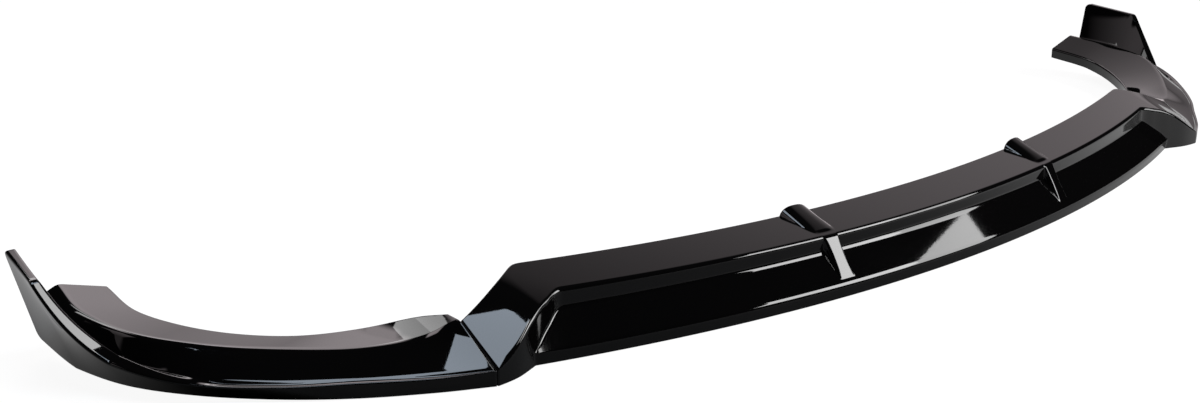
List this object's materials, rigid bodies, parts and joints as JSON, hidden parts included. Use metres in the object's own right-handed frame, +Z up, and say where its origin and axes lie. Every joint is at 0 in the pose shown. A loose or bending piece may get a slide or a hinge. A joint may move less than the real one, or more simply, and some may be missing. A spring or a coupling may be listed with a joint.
{
  "type": "front splitter lip",
  "caption": "Low front lip for a car bumper: arched middle moulding with stepped brow, fins and strakes, and swept corner mouldings that end in upright winglets.",
  "frame": {"origin": "centre of the overall box in X and Y, on the flat underside", "axes": "+X across the car to its left, -Y straight ahead of the car, +Z up"},
  "size_m": [1.8104, 0.4274, 0.107],
  "materials": {
    "gloss_black": "high gloss",
    "zinc_steel": "zinc plated"
  },
  "bodies": {
    "root": {"centre_section": "gloss_black", "left_corner": "gloss_black", "right_corner": "gloss_black", "seam_screws": "zinc_steel", "seam_nuts": "zinc_steel"}
  },
  "joints": []
}
